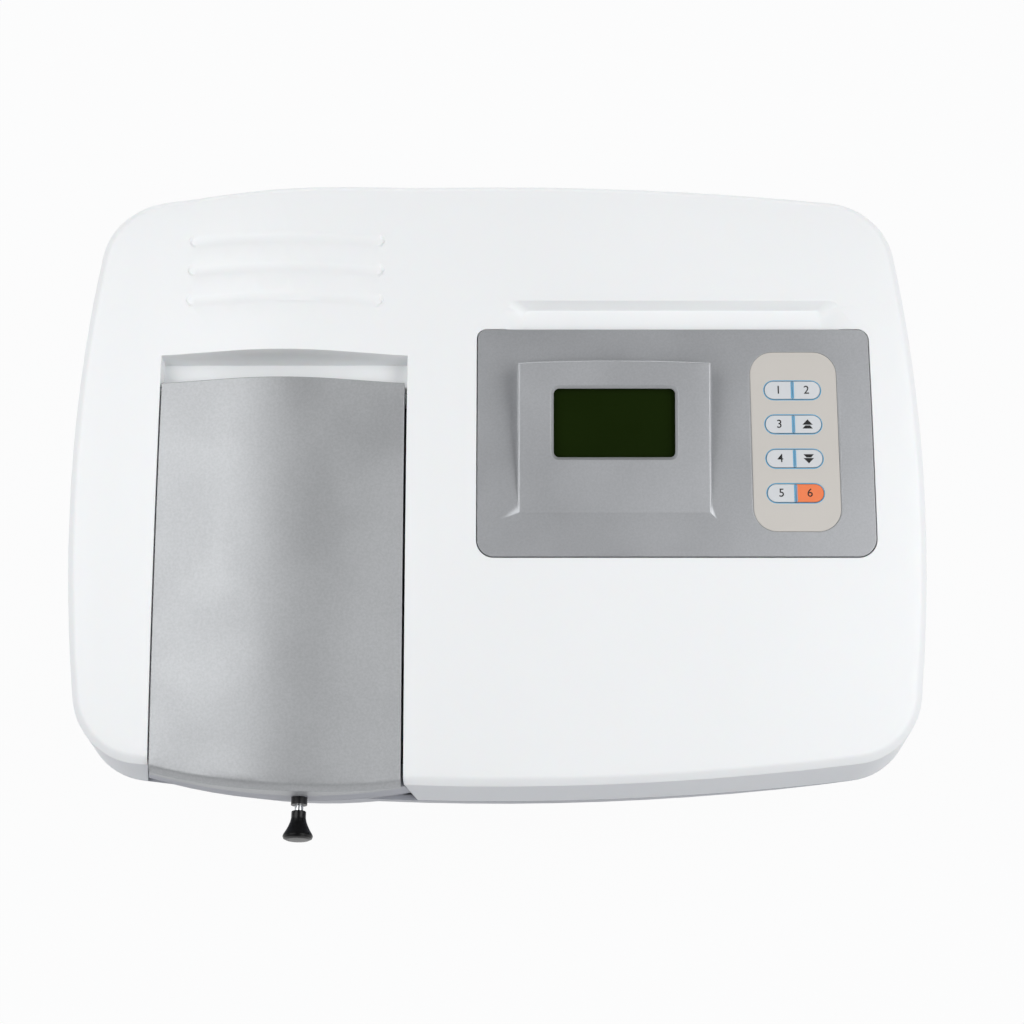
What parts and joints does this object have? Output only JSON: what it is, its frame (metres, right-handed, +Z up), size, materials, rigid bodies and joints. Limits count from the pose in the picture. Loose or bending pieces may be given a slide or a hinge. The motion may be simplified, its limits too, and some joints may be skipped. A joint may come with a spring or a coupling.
{
  "type": "visible spectrophotometer",
  "caption": "Bench visible spectrophotometer with a hinged compartment lid, a pull-rod cell changer, a raised display and a keypad.",
  "frame": {"origin": "centre of the footprint, on the bench", "axes": "+X to the instrument's right seen from the front, +Y to its rear, +Z up"},
  "size_m": [0.476, 0.367, 0.1936],
  "materials": {
    "cover": "fine satin moulded white",
    "tray": "satin moulded light grey",
    "lid": "silver-grey textured paint",
    "fascia": "grey textured paint",
    "black_plastic": "satin black",
    "knob": "gloss black",
    "chrome": "polished",
    "steel": "plain",
    "cast": "cast, black stoved",
    "aluminium": "mill finish",
    "panel": "light grey powder coat",
    "rubber": "matt",
    "seal": "foam",
    "window": "dark green tint",
    "glass": "clear",
    "filter_glass": "tinted",
    "mirror": "front silvered",
    "board": "green lacquered board",
    "ceramic": "unglazed",
    "overlay": "warm grey film",
    "key_grey": "film",
    "key_orange": "film",
    "brass": "turned"
  },
  "bodies": {
    "housing": {"base_tray": "tray", "cell_rail": "black_plastic", "chamber_seal": "seal", "chamber_tub": "black_plastic", "collimating_mirror": "mirror", "compartment_front": "tray", "condenser_lens": "glass", "data_ports": "steel", "detector_box": "aluminium", "display_fascia": "fascia", "entrance_slit": "steel", "exit_slit": "steel", "fan_guard": "black_plastic", "fan_housing": "black_plastic", "feet": "rubber", "filter_motor": "steel", "fold_mirror": "mirror", "halogen_lamp": "glass", "keypad_board": "board", "keypad_overlay": "overlay", "lamp_house": "aluminium", "lamp_socket": "ceramic", "lcd_module": "board", "lcd_window": "window", "main_board": "board", "mains_inlet": "black_plastic", "mono_cover": "cast", "mono_housing": "cast", "nut_guide": "steel", "photodiode": "board", "power_supply": "steel", "rear_panel": "panel", "rod_bush": "black_plastic", "source_mirror": "mirror", "standoffs": "tray", "stepper_motor": "black_plastic", "switch_body": "black_plastic", "top_cover": "cover"},
    "lid": {"lid_shell": "lid", "hinge_pins": "steel"},
    "selector": {"selector_rod": "chrome", "selector_knob": "knob", "cell_carriage": "cast"},
    "grating_drive": {"grating_table": "aluminium", "grating": "mirror"},
    "nut": {"drive_nut": "brass"},
    "screw": {"lead_screw": "steel"},
    "wheel": {"filter_wheel": "aluminium", "order_filters": "filter_glass"},
    "fan": {"fan_rotor": "black_plastic"},
    "power_rocker": {"rocker": "black_plastic"},
    "fuse_tray": {"fuse_drawer": "black_plastic"},
    "button_1": {"key_1": "key_grey"},
    "button_2": {"key_2": "key_grey"},
    "button_3": {"key_3": "key_grey"},
    "button_4": {"key_4": "key_grey"},
    "button_5": {"key_5": "key_grey"},
    "button_6": {"key_6": "key_grey"},
    "button_7": {"key_7": "key_grey"},
    "button_8": {"key_8": "key_orange"}
  },
  "joints": [
    {"name": "lid_hinge", "type": "hinge", "parent": "housing", "child": "lid", "pos_m": [-0.1194, 0.0565, 0.17218], "axis": [-1, 0, 0], "range_deg": [0, 105]},
    {"name": "selector_slide", "type": "slide", "parent": "housing", "child": "selector", "axis": [0, -1, 0], "range_m": [0, 0.045]},
    {"name": "grating_turn", "type": "hinge", "parent": "housing", "child": "grating_drive", "pos_m": [-0.0019, -0.01, 0.093], "axis": [0, 0, 1], "range_deg": [-8, 8]},
    {"name": "nut_travel", "type": "slide", "parent": "housing", "child": "nut", "axis": [1, 0, 0], "range_m": [-0.012, 0.012]},
    {"name": "screw_turn", "type": "hinge", "parent": "housing", "child": "screw", "pos_m": [-0.0019, -0.08, 0.099], "axis": [1, 0, 0], "range_deg": [-1080, 1080]},
    {"name": "filter_wheel_turn", "type": "hinge", "parent": "housing", "child": "wheel", "pos_m": [-0.0269, 0.064, 0.075], "axis": [0, 1, 0], "continuous": true},
    {"name": "fan_spin", "type": "hinge", "parent": "housing", "child": "fan", "pos_m": [-0.0099, 0.148, 0.05], "axis": [0, 1, 0], "continuous": true},
    {"name": "power_switch", "type": "hinge", "parent": "housing", "child": "power_rocker", "pos_m": [0.08, 0.156, 0.05], "axis": [1, 0, 0], "range_deg": [0, 16]},
    {"name": "fuse_drawer_slide", "type": "slide", "parent": "housing", "child": "fuse_tray", "axis": [0, 1, 0], "range_m": [0, 0.012]},
    {"name": "key_1_press", "type": "slide", "parent": "housing", "child": "button_1", "axis": [0, 0.1675, -0.9859], "range_m": [0, 0.0004], "stiffness_N_per_m": 1000},
    {"name": "key_2_press", "type": "slide", "parent": "housing", "child": "button_2", "axis": [0, 0.1675, -0.9859], "range_m": [0, 0.0004], "stiffness_N_per_m": 1000},
    {"name": "key_3_press", "type": "slide", "parent": "housing", "child": "button_3", "axis": [0, 0.1675, -0.9859], "range_m": [0, 0.0004], "stiffness_N_per_m": 1000},
    {"name": "key_4_press", "type": "slide", "parent": "housing", "child": "button_4", "axis": [0, 0.1675, -0.9859], "range_m": [0, 0.0004], "stiffness_N_per_m": 1000},
    {"name": "key_5_press", "type": "slide", "parent": "housing", "child": "button_5", "axis": [0, 0.1675, -0.9859], "range_m": [0, 0.0004], "stiffness_N_per_m": 1000},
    {"name": "key_6_press", "type": "slide", "parent": "housing", "child": "button_6", "axis": [0, 0.1675, -0.9859], "range_m": [0, 0.0004], "stiffness_N_per_m": 1000},
    {"name": "key_7_press", "type": "slide", "parent": "housing", "child": "button_7", "axis": [0, 0.1675, -0.9859], "range_m": [0, 0.0004], "stiffness_N_per_m": 1000},
    {"name": "key_8_press", "type": "slide", "parent": "housing", "child": "button_8", "axis": [0, 0.1675, -0.9859], "range_m": [0, 0.0004], "stiffness_N_per_m": 1000}
  ],
  "couplings": [
    {"joint": "nut_travel", "follows": "grating_turn", "m_per_rad": 0.07},
    {"joint": "screw_turn", "follows": "grating_turn", "ratio": -109.96}
  ]
}
